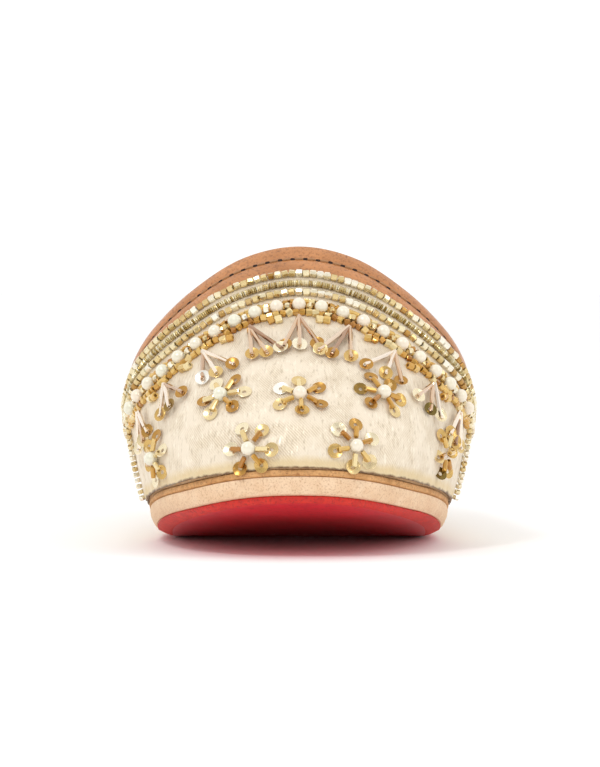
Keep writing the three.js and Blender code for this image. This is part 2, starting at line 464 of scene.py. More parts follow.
# Goat lining leather, undyed and buffed: dull and even.
LINING = leather(
    "lining_leather_natural", ("#D9B68C", "#CBA67A", "#A67E55"), 0.9, 0.75, 0.12
)
# Tan band of vegetable-tanned goat, polished by hand: soft shine over fine wrinkles.
BAND = leather(
    "band_leather_tan", ("#CC8A54", "#B67844", "#7A4824"), 0.9, 0.4, 0.3, Coat_Weight=0.15
)
# The band's cut edge, burnished dark with a slicker.
BAND_EDGE_FINISH = leather(
    "band_edge_burnished", ("#7A4A2A", "#5E3820", "#3E2414"), 0.6, 0.5, 0.1
)
# Insole board of buffalo leather, its edge trimmed by knife: rough brown with reddish fibres.
RAND = leather(
    "insole_edge_brown", ("#E0AC72", "#C89258", "#8A4E2C"), 0.7, 0.8, 0.3, patch_mm=3.0
)
# Midsole of undyed buffalo leather, sanded on the edge: pale, with short dark fibres.
MIDSOLE_EDGE = leather(
    "midsole_leather_natural", ("#F2D3B0", "#EAC6A0", "#BC8C62"), 0.55, 0.72, 0.25, patch_mm=4.0
)
# Red pigment brushed on the cut edge: bright and rough, as the fibres soak it up.
RED_EDGE = leather(
    "outsole_edge_red", ("#E0301F", "#CC241C", "#7E0E0E"), 0.7, 0.6, 0.5, patch_mm=3.0
)
# Outsole of rolled leather, painted dark red and glazed: glossy with faint scuffs.
RED_SOLE = leather(
    "outsole_leather_red", ("#D81228", "#C80E22", "#A00A1A"), 1.4, 0.3, 0.08, patch_mm=14.0,
    Specular_IOR_Level=0.25, Coat_Weight=0.12, Coat_Roughness=0.2,
)
# Cut beads of silver-lined glass, chopped from drawn tube: bright gold.
GOLD_BEADS = tinted(
    "glass_beads_gold", ("#B88A3E", "#DDC48A", "#ECDDB4", "#F6EFDC"), 0.2,
    Metallic=0.8, Coat_Weight=0.8, Coat_Roughness=0.05,
)
# The same glass in a deeper tint, polished by tumbling: amber depths. Round the pearls and between
# the sprays, these amber beads also stand in for painted shade and shadow.
AMBER_BEADS = tinted(
    "glass_beads_amber", ("#B0741E", "#CC9838", "#DDB562", "#EAD49C"), 0.16,
    Metallic=0.55, Coat_Weight=1.0, Coat_Roughness=0.04,
)
# Gilt brass wire, drawn and coiled: bright ridges with tarnish between.
GOLD_WIRE = tinted(
    "gilt_wire_coiled", ("#B0955A", "#D6C392", "#EFE4C6"), 0.28, Metallic=1.0
)
# Bugles of rose-gold lined glass, twisted while the tube was drawn: bright edges.
ROSE_BUGLES = tinted(
    "glass_bugles_rose", ("#AC8668", "#D8B898", "#F2E2CE"), 0.1,
    Metallic=0.95, Coat_Weight=1.0, Coat_Roughness=0.05,
)
# Plastic sequins, punched from metallised sheet: gold, champagne, amber and some olive.
SEQUINS = tinted(
    "sequins_metallised", ("#74622E", "#B98A44", "#D3AE68", "#DFC48C", "#F0E2C0", "#FBF7EC"),
    0.26, Metallic=0.75,
)
# Moulded plastic pearls dipped in pearl lacquer: milky with a crisp highlight.
PEARLS = tinted(
    "pearls_lacquered", ("#F4EAD2", "#F0E6D0", "#F4E6D0", "#ECE8D2"), 0.22,
    Metallic=0.12, Coat_Weight=1.0, Coat_Roughness=0.03,
)
# Waxed cotton, three strands laid up: pale tan.
THREAD, _, _ = start_material("thread_waxed_cotton", "#A87A50", 0.7, Sheen_Weight=0.2)
# The insides of the needle's holes, in shadow: dark spots.
AWL_HOLES, _, _ = start_material("awl_holes_dark", "#2A170C", 0.9)
# Rawhide thongs of the sole's stitching, flattened and tinted by the paint.
THONGS = leather("sole_thongs_pink", ("#E8C0B8", "#DDB0A6", "#B98078"), 0.6, 0.5, 0.1)
# The slits the thongs pass through, cut with a knife: dark red in shadow.
THONG_SLITS, _, _ = start_material("sole_slits_dark", "#3A060B", 0.6)
# The floor: white laminate, seamless.
FLOOR, _, _ = start_material("floor_white", "#FFFFFF", 0.9)

# ---- Meshes ----


def make_mesh(name, points, faces, flat_angle, materials=(), rims=0):
    """A closed mesh in metres, faces outwards; the last faces, its rims, take the last material."""
    mesh = bpy.data.meshes.new(name)
    mesh.from_pydata(np.asarray(points).tolist(), [], faces)
    solid = bmesh.new()
    solid.from_mesh(mesh)
    if solid.calc_volume(signed=True) < 0:
        mesh.flip_normals()
    solid.free()
    for material in materials:
        mesh.materials.append(material)
    if len(materials) > 1:
        slots = [0] * (len(faces) - rims) + [1] * rims
        mesh.polygons.foreach_set("material_index", slots)
    mesh.shade_smooth()
    mesh.set_sharp_from_angle(angle=math.radians(flat_angle))
    return mesh


def place_piece(name, mesh, slot, *replaced):
    piece = new_object(name, mesh)
    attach(piece, "root")
    if replaced:
        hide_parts(*replaced)


def shell(name, outer, inner, materials, ring=False, cloth=None):
    """A sheet with a thickness between two grids of points, closed along its edges."""
    count, levels = outer.shape[:2]
    points = np.concatenate([outer.reshape(-1, 3), inner.reshape(-1, 3)])
    back = count * levels
    column = np.arange(count if ring else count - 1)
    row = np.arange(levels - 1)
    u, v = np.meshgrid(column, row, indexing="ij")
    a = (u * levels + v).ravel()
    b = (((u + 1) % count) * levels + v).ravel()
    front = np.stack([a, b, b + 1, a + 1], 1)
    following = (column + 1) % count
    rims = [(column * levels + level, following * levels + level, level == 0)
            for level in (0, levels - 1)]
    if not ring:
        rims += [(start + row, start + row + 1, start > 0) for start in (0, back - levels)]
    sides = [np.stack([one, two, two + back, one + back], 1)[:, ::-1 if flip else 1]
             for one, two, flip in rims]
    faces = np.concatenate([front, front[:, ::-1] + back, *sides])
    rim_count = len(faces) - 2 * len(front)
    mesh = make_mesh(name, to_metres(points), faces.tolist(), 50, materials, rim_count)
    if cloth is not None:
        flat = np.tile(cloth.reshape(-1, 2) * 0.001, (2, 1))
        layer = mesh.uv_layers.new(name="cloth")
        corners = np.empty(len(mesh.loops), int)
        mesh.loops.foreach_get("vertex_index", corners)
        layer.data.foreach_set("uv", flat[corners].ravel())
    return mesh


def sole_plate(name, section, materials, count=240):
    """A plate with the sole's outline; section(way) gives its edge as (margin, level) rows."""
    even = np.linspace(0, 1, count)
    ways = 0.5 * (0.5 - 0.5 * np.cos(math.pi * even)) + 0.5 * even  # closer at toe and heel
    rows = np.array([section(way) for way in ways])
    edge = edge_point(ways[:, None], rows[..., 0])
    edge[[0, -1], :, 0] = 0
    right = np.concatenate([edge, (rise(edge[..., 1]) + rows[..., 1])[..., None]], -1)
    around = np.concatenate([right, right[-2:0:-1] * MIRROR])
    total, levels = around.shape[:2]
    caps, rims = [], []
    for i in range(count - 1):
        for k, flip in ((0, False), (levels - 1, True)):
            ring = (i, -i % total, (-i - 1) % total, i + 1)
            corners = tuple(dict.fromkeys(j * levels + k for j in ring))
            caps.append(corners[::-1] if flip else corners)
    for i in range(total):
        for k in range(levels - 1):
            a, b = i * levels + k, (i + 1) % total * levels + k
            rims.append((a, b, b + 1, a + 1))
    points = to_metres(around.reshape(-1, 3))
    return make_mesh(name, points, caps + rims, 35, materials, len(rims))


def add_shape(name, points, faces, flat_angle):
    """A small shape in millimetres, for sewing; it is removed once everything is sewn."""
    return new_object(name, make_mesh(name, np.array(points) * 0.001, faces, flat_angle))


def turned_shape(name, around, looped, upright, twist, profile):
    """A profile turned round the X axis, or round Z when upright, with its ends closed."""
    points, rings = [], []
    for step, (radius, level) in enumerate(profile):
        if radius == 0:
            rings.append([len(points)] * around)
            points.append((0.0, 0.0, level))
            continue
        rings.append(list(range(len(points), len(points) + around)))
        for i in range(around):
            angle = 2 * math.pi * i / around + twist * step
            points.append((radius * math.cos(angle), radius * math.sin(angle), level))
    faces = []
    for low, high in zip(rings, rings[1:] + (rings[:1] if looped else [])):
        for i in range(around):
            j = (i + 1) % around
            faces.append(tuple(dict.fromkeys((low[i], low[j], high[j], high[i]))))
    points = np.array(points)
    return add_shape(name, points if upright else points[:, [2, 0, 1]], faces, 32)


def ball_profile(radius, rings):
    angles = np.linspace(-math.pi / 2, math.pi / 2, rings)
    rows = [(radius * math.cos(a), radius * math.sin(a)) for a in angles]
    return [(0, -radius)] + rows[1:-1] + [(0, radius)]


def lozenge(name, half_length, half_width, thickness):
    shoulder, rim, buried = 0.35 * half_length, 0.8, -0.3
    outline = [(half_length, 0), (shoulder, half_width), (-shoulder, half_width),
               (-half_length, 0), (-shoulder, -half_width), (shoulder, -half_width)]
    points = [(x, y, buried) for x, y in outline]
    points += [(x * rim, y * rim, thickness) for x, y in outline]
    count = len(outline)
    faces = [(i, (i + 1) % count, count + (i + 1) % count, count + i) for i in range(count)]
    faces += [tuple(range(count))[::-1], tuple(range(count, 2 * count))]
    return add_shape(name, points, faces, 40)


# Each small shape's slot, sides, whether its last row joins its first, whether it stands on Z
# instead of lying along X, twist from row to row, and profile: (radius, level) in millimetres.
TURNED = {
    "tube": ("gold_bead", 8, True, False, 0,
             [(0.45, -0.86), (0.9, -0.95), (1.08, -0.7), (1.08, 0.7), (0.9, 0.95), (0.45, 0.86)]),
    "seed": ("gold_bead", 8, True, False, 0,
             [(0.3, -0.5), (0.8, -0.62), (1.0, 0.0), (0.8, 0.62), (0.3, 0.5)]),
    "coil": ("gold_wire", 12, True, False, 0,
             [(0.55, 0.0), (0.8, -0.26), (1.02, 0.0), (0.8, 0.26)]),
    "pearl": ("pearl", 12, False, True, 0, ball_profile(2.05, 8)),
    "sequin": ("gold_wire", 14, True, True, 0,
               [(0.62, 0), (1.3, 0.08), (2.1, 0.3), (2.17, 0.4), (2.07, 0.44), (1.3, 0.22),
                (0.62, 0.14)]),
    "bugle": ("gold_bead", 7, True, False, 0.12,
              [(0.35, -0.5), (0.6, -0.5), (0.68, -0.3), (0.68, -0.1), (0.68, 0.1), (0.68, 0.3),
               (0.6, 0.5), (0.35, 0.5)]),
    "short_bugle": ("gold_bead", 8, True, False, 0, [
        (0.35, -0.5), (0.68, -0.5), (0.78, -0.4), (0.78, 0.4), (0.68, 0.5), (0.35, 0.5)]),
    "stitch": ("thread", 6, False, False, 0,
               [(0, -1.3), (0.26, -1.0), (0.38, -0.4), (0.38, 0.4), (0.26, 1.0), (0, 1.3)]),
    "hole": ("band_leather", 8, False, True, 0,
             [(0, -0.1), (0.75, -0.08), (0.75, 0.08), (0, 0.14)]),
}
SHAPES = {name: turned_shape(name, *kind[1:]) for name, kind in TURNED.items()}
SHAPES["thong"] = lozenge("thong", 1.45, 2.1, 0.16)
SHAPES["slit"] = lozenge("slit", 0.3, 2.4, 0.1)
SHAPE_SLOTS = {name: kind[0] for name, kind in TURNED.items()}
SHAPE_SLOTS.update(thong="thread", slit="outsole_leather")

# ---- Geometry Nodes ----


def sewing_tree(name, follows_line):
    """Sets a bead on each point, or at an even pitch along a line.

    "facing" is the outward direction at each point and "along" the way the bead's length points;
    on a line the beads follow the line.
    """
    tree = bpy.data.node_groups.new(name, "GeometryNodeTree")
    for label, kind in (
        ("Ground", "Geometry"), ("Bead", "Object"), ("Finish", "Material"), ("Pitch", "Float"),
        ("Tilt", "Float"), ("Size Spread", "Float"), ("Seed", "Int"),
    ):
        tree.interface.new_socket(label, in_out="INPUT", socket_type="NodeSocket" + kind)
    tree.interface.new_socket("Sewn", in_out="OUTPUT", socket_type="NodeSocketGeometry")
    asked = add(tree, "NodeGroupInput").outputs
    stored = {}
    for label in ("facing", "size") if follows_line else ("facing", "size", "along"):
        stored[label] = add(
            tree, "GeometryNodeInputNamedAttribute", {"Name": label}, data_type="FLOAT_VECTOR"
        ).outputs["Attribute"]
    places = asked["Ground"]
    if follows_line:
        line = add(tree, "GeometryNodeMeshToCurve", {"Mesh": places})
        places = add(
            tree, "GeometryNodeResampleCurve",
            {"Curve": line.outputs[0], "Length": asked["Pitch"]}, mode="LENGTH",
        ).outputs[0]
        stored["along"] = add(tree, "GeometryNodeInputTangent").outputs[0]
    turned = add(
        tree, "FunctionNodeAxesToRotation",
        {"Primary Axis": stored["facing"], "Secondary Axis": stored["along"]},
        primary_axis="Z", secondary_axis="X",
    )
    least = add(tree, "ShaderNodeMath", {0: asked["Tilt"], 1: -1.0}, operation="MULTIPLY")
    wobble = add(
        tree, "FunctionNodeRandomValue",
        {0: least.outputs[0], 1: asked["Tilt"], "Seed": asked["Seed"]}, data_type="FLOAT_VECTOR",
    )
    wobbled = add(
        tree, "FunctionNodeRotateRotation",
        {"Rotation": turned.outputs[0], "Rotate By": wobble.outputs[0]}, rotation_space="LOCAL",
    )
    limits = [
        add(tree, "ShaderNodeMath", {0: 1.0, 1: asked["Size Spread"]}, operation=operation)
        for operation in ("SUBTRACT", "ADD")
    ]
    spread = add(
        tree, "FunctionNodeRandomValue",
        {2: limits[0].outputs[0], 3: limits[1].outputs[0], "Seed": asked["Seed"]},
        data_type="FLOAT",
    )
    sized = add(
        tree, "ShaderNodeVectorMath", {"Vector": stored["size"], "Scale": spread.outputs[1]},
        operation="SCALE",
    )
    bead = add(
        tree, "GeometryNodeObjectInfo", {"Object": asked["Bead"], "As Instance": True},
        transform_space="ORIGINAL",
    )
    sewn = add(
        tree, "GeometryNodeInstanceOnPoints",
        {"Points": places, "Instance": bead.outputs["Geometry"],
         "Rotation": wobbled.outputs[0], "Scale": sized.outputs[0]},
    )
    chance = add(tree, "FunctionNodeRandomValue", {"Seed": asked["Seed"]}, data_type="FLOAT")
    dyed = add(
        tree, "GeometryNodeStoreNamedAttribute",
        {"Geometry": sewn.outputs[0], "Name": "tint", "Value": chance.outputs[1]},
        domain="INSTANCE", data_type="FLOAT",
    )
    real = add(tree, "GeometryNodeRealizeInstances", {0: dyed.outputs[0]})
    coloured = add(
        tree, "GeometryNodeSetMaterial", {"Geometry": real.outputs[0], "Material": asked["Finish"]}
    )
    add(tree, "NodeGroupOutput", {0: coloured.outputs[0]})
    return tree


SEW_ALONG_LINE = sewing_tree("sew_along_line", True)
SEW_ON_POINTS = sewing_tree("sew_on_points", False)


def sew(name, shape, finish, points, facing, along=None, size=None, edges=None, **asked):
    """Sews beads with Geometry Nodes and makes the result a plain mesh."""
    ground = bpy.data.meshes.new(name)
    ground.from_pydata(to_metres(points).tolist(), edges or [], [])
    vectors = {"facing": facing, "size": np.ones((len(points), 3)) if size is None else size}
    if along is not None:
        vectors["along"] = along
    for label, values in vectors.items():
        layer = ground.attributes.new(label, "FLOAT_VECTOR", "POINT")
        layer.data.foreach_set("vector", np.asarray(values, float).ravel())
    piece = new_object(name, ground)
    sewing = piece.modifiers.new("sewing", "NODES")
    sewing.node_group = tree = SEW_ALONG_LINE if edges else SEW_ON_POINTS
    wanted = {"Bead": SHAPES[shape], "Finish": finish, "Pitch": 0.002, "Tilt": 0.08,
              "Size Spread": 0.05, "Seed": 3}
    wanted.update({key.replace("_", " "): value for key, value in asked.items()})
    for item in tree.interface.items_tree:
        if item.in_out == "INPUT" and item.name in wanted:
            sewing[item.identifier] = wanted[item.name]
    graph = bpy.context.evaluated_depsgraph_get()
    plain = bpy.data.meshes.new_from_object(
        piece.evaluated_get(graph), preserve_all_data_layers=True, depsgraph=graph
    )
    piece.modifiers.clear()
    piece.data = plain
    plain.name = name
    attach(piece, "root")


def sew_line(name, shape, finish, turns, heights, lift, pitch, ring=False, **asked):
    """Beads along a line on the upper; lift raises them off the cloth."""
    points, _, _, normals = face_frame(turns, heights)
    count = len(points)
    edges = [(i, i + 1) for i in range(count - 1)] + ([(count - 1, 0)] if ring else [])
    sew(name, shape, finish, points + normals * lift, normals, edges=edges,
        Pitch=pitch * 0.001, **asked)

# ---- The sole ----


def midsole_section(way):
    """The edge leans in towards the outsole and bulges a little; less so at the toe."""
    lean = float(ease(way, 0.03, 0.2))
    return [
        (-1.0, MIDSOLE_BOTTOM), (1.5 - 1.3 * lean, MIDSOLE_BOTTOM), (1.9 - 1.1 * lean, 2.6),
        (2.0 - 0.6 * lean, 3.6), (2.1 - 0.1 * lean, 5.0), (2.2, 6.2), (2.1, 6.8), (1.6, 7.0),
        (-1.0, 7.0),
    ]


def outsole_section(way):
    """The painted edge is square at the toe and cupped along the sides."""
    cupped = float(ease(way, 0.04, 0.2))
    return [
        (-1.2 - 3.3 * cupped, 0.0), (-0.6 - 2.3 * cupped, 0.18 + 0.2 * cupped),
        (-0.2 - 1.2 * cupped, 0.5 + 0.5 * cupped), (-0.05 - 0.4 * cupped, 0.9 + 0.6 * cupped),
        (0.0, 1.7), (-0.3, 2.05), (-2.0, 2.05),
    ]


INSOLE_EDGE = [(-1.0, 7.05), (1.8, 7.05), (2.3, 7.35), (2.45, 8.0), (2.3, 8.7), (1.8, 8.95),
               (-1.0, 8.95)]
SOCK_EDGE = [(1.6, 8.97), (2.2, 9.2), (2.2, 9.8), (1.6, 10.1)]


def build_sole():
    for name, section, materials, slot, replaced in (
        ("outsole_leather_plate", outsole_section, [RED_SOLE, RED_EDGE], "outsole_leather",
         ["outsole"]),
        ("midsole_leather_plate", midsole_section, [MIDSOLE_EDGE], "midsole_leather",
         ["midsole"]),
        ("insole_leather_board", lambda way: INSOLE_EDGE, [RAND], "insole_leather", ["insole"]),
        ("sock_lining", lambda way: SOCK_EDGE, [LINING], "lining_leather", []),
    ):
        place_piece(name, sole_plate(name, section, materials), slot, *replaced)


# From the sole's edge, from thong to thong, how deep they sit, and the slit's distance ahead.
THONG_INSET, THONG_PITCH, THONG_SINK, SLIT_AHEAD = 7.0, 8.5, 0.27, 1.9


def build_sole_stitching():
    """Rawhide thongs that show under the sole, each with a slit ahead of it."""
    half = np.linspace(0.004, 0.996, 400)
    edge = edge_point(half, -THONG_INSET)
    edge = np.concatenate([edge, edge[::-1] * [-1, 1]])
    points = np.concatenate([edge, rise(edge[:, 1])[:, None]], 1)
    slope = (rise(edge[:, 1] + 0.5) - rise(edge[:, 1] - 0.5))[:, None]
    down = unit(np.concatenate([np.zeros_like(slope), slope, -np.ones_like(slope)], 1))
    strides = np.linalg.norm(np.diff(points, axis=0, append=points[:1]), axis=1)
    walked = np.cumsum(strides) - strides[0]
    places = np.arange(2.0, walked[-1] - 4, THONG_PITCH)
    spots, faces, ahead = (
        np.stack([np.interp(at, walked, rows[:, i]) for i in range(3)], 1)
        for at, rows in ((places, points), (places, down), (places + 0.5, points))
    )
    ahead = unit(ahead - spots)
    spots = spots - faces * THONG_SINK
    sew("sole_thongs", "thong", THONGS, spots, faces, along=ahead, Tilt=0.06)
    sew("sole_slits", "slit", THONG_SLITS, spots + ahead * SLIT_AHEAD, faces,
        along=ahead, Tilt=0.04)


# ---- The upper ----
SEAM_TURN = 0.158  # where the side seams are
# Creases placed one by one: each from one (turn, height) to another, with its depth and width in
# mm.
CREASES = (
    ((-0.135, 0.05), (-0.115, 0.42), 0.55, 2.2),
    ((-0.158, 0.1), (-0.15, 0.4), 0.5, 1.8),
    ((-0.1, 0.2), (-0.07, 0.44), 0.4, 2.6),
    ((-0.06, 0.02), (-0.045, 0.17), 0.45, 1.9),
    ((-0.012, 0.01), (-0.004, 0.14), 0.35, 1.6),
    ((0.042, 0.02), (0.036, 0.16), 0.4, 1.7),
    ((0.072, 0.16), (0.095, 0.45), 0.5, 2.4),
    ((0.118, 0.06), (0.126, 0.38), 0.55, 2),
    ((0.15, 0.1), (0.16, 0.42), 0.5, 1.8),
    ((-0.028, 0.46), (0.03, 0.5), 0.35, 3.2),
    ((0.262, 0.1), (0.275, 0.5), 0.5, 2.6),
    ((-0.265, 0.15), (-0.28, 0.5), 0.5, 2.8),
    ((0.36, 0.06), (0.352, 0.36), 0.4, 2.2),
    ((-0.37, 0.05), (-0.36, 0.4), 0.45, 2.4),
    ((0.44, 0.12), (0.47, 0.3), 0.4, 2),
)

# Distances from the band's lower edge; they draw together towards the side seams.
TUBE_ROW, COIL_ROW, SECOND_TUBE_ROW, PEARL_ROW = 3.5, 7.8, 12.0, 19.2
PEARL_PITCH = 6.3
CLOTH_EDGE = 1.5  # the cloth's edge lies this far from the first row


def drawn_in(turn, distance):
    """A row's distance at each turn: a little more beside the toe's top, less from the seams on."""
    near = np.abs((np.asarray(turn) + 0.5) % 1 - 0.5)
    wider = 0.13 * np.exp(-(((near - 0.06) / 0.035) ** 2))
    return distance * (1 + wider - 0.34 * ease(near, 0.085, 0.155))


def cloth_relief(turn, height, points):
    """How far the cloth stands off the last: creases, lasting puckers and slack."""
    relief = np.zeros(turn.shape)
    for start, end, depth, width in CREASES:
        steps = np.linspace(0, 1, 9)
        line = face(*(a + (b - a) * steps for a, b in zip(start, end)))
        gap = np.full(turn.shape, 1e9)
        for a, b in zip(line[:-1], line[1:]):
            along = np.clip(((points - a) @ (b - a)) / ((b - a) @ (b - a)), 0, 1)
            nearest = a + along[..., None] * (b - a)
            gap = np.minimum(gap, np.linalg.norm(points - nearest, axis=-1))
        relief -= depth * np.exp(-((gap / width) ** 2))
        relief += 0.35 * depth * np.exp(-(((gap - 1.8 * width) / width) ** 2))
    around = turn * 2 * math.pi
    pucker_mm, pucker_height, slack_mm = 0.13, 0.075, 0.16
    puckers = np.sin(67 * around + 2.1 * np.sin(9 * around)) + 0.6 * np.sin(41 * around + 1.3)
    relief += pucker_mm * puckers * np.exp(-((height / pucker_height) ** 2))
    slack = np.sin(11 * around + 3 * height) * np.sin(7 * height + 5 * around)
    return relief + slack_mm * slack * ease(height, 0.05, 0.3)


def wall_grid(turns, top, levels, offsets, creased):
    """Points of the face from the sole up to a height, at several depths below it."""
    height = top[:, None] * np.linspace(0, 1, levels)
    turn = np.broadcast_to(turns[:, None], height.shape)
    points, _, _, normals = face_frame(turn, height)
    depth = cloth_relief(turn, height, points) if creased else 0 * height
    up = walk(points)
    round_it = walk(face(turns, 0.35))
    cloth = np.stack([np.broadcast_to(round_it[:, None], up.shape), up], -1)
    return [points + normals * (depth + offset)[..., None] for offset in offsets], cloth


def build_upper():
    """The vamp laps over the quarters at the side seams, and one lining backs both."""
    lap_over, lap_under, band_lap = 0.003, 0.006, 1.2
    for name, start, end, offsets, replaced in (
        ("vamp", -SEAM_TURN - lap_over, SEAM_TURN + lap_over, (0.0, -0.85), ["upper"]),
        ("quarters", SEAM_TURN - lap_under, 1 + lap_under - SEAM_TURN, (-0.4, -0.85), []),
    ):
        turns = np.linspace(start, end, 300)
        top = height_below_band(turns, drawn_in(turns, TUBE_ROW) - CLOTH_EDGE)
        grids, cloth = wall_grid(turns, top, 120, offsets, True)
        sheet = shell(name, *grids, [CLOTH], cloth=cloth)
        place_piece(name + "_brocade", sheet, "brocade", *replaced)
    turns = np.linspace(0, 1, 240, endpoint=False)
    top = height_below_collar(turns, BAND_WIDTH + band_lap)
    grids, _ = wall_grid(turns, top, 40, (-1.0, -2.62), False)
    place_piece("lining", shell("lining", *grids, [LINING], ring=True), "lining_leather")


STITCH_LINE, STITCH_PITCH = 5.9, 3.8  # below the collar, and from stitch to stitch


def build_band():
    """The band is sewn through at mid-width, so its leather dips there, and its rim is rounded."""
    columns, rows, overlap = 900, 34, 0.3
    crown_mm, dip_mm, rounding_mm, rim_mm = 0.22, 0.3, 0.75, 1.1
    turns = np.linspace(0, 1, columns, endpoint=False)
    bottom = height_below_band(turns, drawn_in(turns, TUBE_ROW) - overlap)
    part = np.linspace(0, 1, rows) ** 0.9
    height = bottom[:, None] + (1 - bottom)[:, None] * part
    points, _, _, normals = face_frame(turns[:, None], height)
    up = walk(points)
    below = up[:, -1:] - up
    crown = crown_mm * np.sin(2 * math.pi * np.clip(below / (2 * STITCH_LINE), 0, 1)) ** 2
    dip = dip_mm * np.exp(-(((below - STITCH_LINE) / 0.75) ** 2))
    rounding = rounding_mm * (1 - np.clip(below / rim_mm, 0, 1)) ** 2
    outer = points + normals * (crown - dip - rounding - BAND_RECESS)[..., None]
    inner = points - normals * (BAND_RECESS + BAND_WALL - 0.9 * rounding)[..., None]
    mesh = shell("band", outer, inner, [BAND, BAND_EDGE_FINISH], ring=True)
    place_piece("topline_band_leather", mesh, "band_leather", "topline_band")


def build_band_stitches():
    turns = np.linspace(0, 1, 1601)
    heights = height_below_collar(turns, STITCH_LINE)
    walked = walk(face(turns, heights))
    count = round(walked[-1] / STITCH_PITCH)
    for name, shape, finish, phase, depth in (
        ("band_stitches", "stitch", THREAD, 0.0, 0.62),
        ("band_needle_holes", "hole", AWL_HOLES, 0.5, 0.76),
    ):
        places = (np.arange(count) + phase) * walked[-1] / count
        at = np.interp(places, walked, turns)
        level = np.interp(at, turns, heights)
        spots, onward, _, facing = face_frame(at, level)
        sew(name, shape, finish, spots - facing * depth, facing, along=onward, Tilt=0.05)


# ---- The beaded border ----
def border_line(distance, start, end, samples):
    turns = np.linspace(start, end, samples)
    return turns, height_below_band(turns, drawn_in(turns, distance))


def spaced_places(turns, heights, pitch, centred=True):
    """Places at an even pitch along a line, counted from the shoe's midline."""
    walked = walk(face(turns, heights))
    middle = np.interp(0, turns, walked)
    first = math.ceil((1 - middle) / pitch)
    last = math.floor((walked[-1] - 1 - middle) / pitch)
    places = middle + (np.arange(first, last + 1) + (0 if centred else 0.5)) * pitch
    places = places[(places > 1) & (places < walked[-1] - 1)]
    at = np.interp(places, walked, turns)
    return at, np.interp(at, turns, heights)


def build_border():
    samples = 260
    for name, distance, shape, finish, pitch, lift, tilt in (
        ("tube_row_top", TUBE_ROW, "tube", GOLD_BEADS, 2.08, 0.85, 0.16),
        ("coiled_wire_row", COIL_ROW, "coil", GOLD_WIRE, 0.62, 0.8, 0.1),
        ("tube_row_lower", SECOND_TUBE_ROW, "tube", GOLD_BEADS, 2.15, 0.85, 0.2),
    ):
        turns, heights = border_line(distance, 0, 1, 2 * samples)
        sew_line(name, shape, finish, turns[:-1], heights[:-1], lift, pitch, ring=True,
                 Tilt=tilt, Size_Spread=0.08)
    limit = SEAM_TURN - 0.013
    turns, heights = border_line(PEARL_ROW, -limit, limit, samples)
    for name, shape, finish, centred, lift, tilt, size, spread in (
        ("border_pearls", "pearl", PEARLS, True, 1.9, 0.5, 1, 0.03),
        ("pearl_spacers", "seed", GOLD_BEADS, False, 1.5, 0.4, 1.1, 0.05),
    ):
        at, level = spaced_places(turns, heights, PEARL_PITCH, centred)
        spots, onward, _, facing = face_frame(at, level)
        sew(name, shape, finish, spots + facing * lift, facing, along=onward, Tilt=tilt,
            size=np.full((len(at), 3), size), Size_Spread=spread)
    # Three lines of amber beads round the pearls: a bed of beads whose amber also serves as painted
    # shade under and around the pearls.
    for name, shift, pitch, seed in (
        ("bed_beads_upper", -2.5, 1.9, 5), ("bed_beads_middle", -0.3, 2.0, 8),
        ("bed_beads_lower", 2.1, 1.9, 11),
    ):
        turns, heights = border_line(PEARL_ROW + shift, -limit, limit, samples)
        sew_line(name, "tube", AMBER_BEADS, turns, heights, 0.7, pitch,
                 Tilt=0.45, Seed=seed, Size_Spread=0.12)


def build_seams():
    """Chains of beads cover the side seams, and a coiled wire the seam up the heel."""
    chain = ("seed", GOLD_BEADS, 2, 0.02, 60, 0.9, 1.75, 0.3, 0.06)
    wire = ("coil", GOLD_WIRE, 1.6, 0.03, 40, 0.3, 0.62, 0.1, 0.05)
    for name, turn, kind in (
        ("seam_chain_left", SEAM_TURN, chain), ("seam_chain_right", -SEAM_TURN, chain),
        ("back_seam_wire", 0.5, wire),
    ):
        shape, finish, below_row, bottom, samples, lift, pitch, tilt, spread = kind
        top = height_below_band([turn], drawn_in(turn, SECOND_TUBE_ROW + below_row))[0]
        heights = np.linspace(bottom, top, samples)
        sew_line(name, shape, finish, np.full(samples, turn), heights, lift, pitch,
                 Tilt=tilt, Size_Spread=spread)


# ---- Sprays and flowers ----
SPRAY_PITCH = 14.6
SPRAY_DROP, PAIR_DROP = 5.0, 4.4  # from the pearls to where a spray's bugles meet, and the pairs
APEX_LIFT, FAN_ANGLES = 2.3, (-24, 3, 31)
BUGLE_LENGTH, BUGLE_REACH, DISC_REACH = 3.5, 3.9, 6.2  # in the flowers
# Flowers as (turn, height) of the middle, the angle of the first petal, and whether it has a pearl.
FLOWERS = (
    (-0.038, 0.4, 8, True),
    (0.0005, 0.37, 30, True),
    (0.042, 0.416, -12, True),
    (-0.0935, 0.166, 16, True),
    (-0.022, 0.116, 0, True),
    (0.025, 0.134, 22, True),
    (0.097, 0.196, 10, False),
)


def sew_places(name, shape, finish, places, **asked):
    """Sews beads at places given as (point, facing, along, size along the bead, size across)."""
    points, facing, along, long, wide = (np.array(rows, float) for rows in zip(*places))
    size = np.stack([long, wide, wide], 1)
    sew(name, shape, finish, points, unit(facing), along=along, size=size, **asked)


def place_on_face(turn, height, lift):
    point, onward, _, normal = face_frame(turn, height)
    level = unit(onward)
    return point + normal * lift, level, np.cross(normal, level), normal


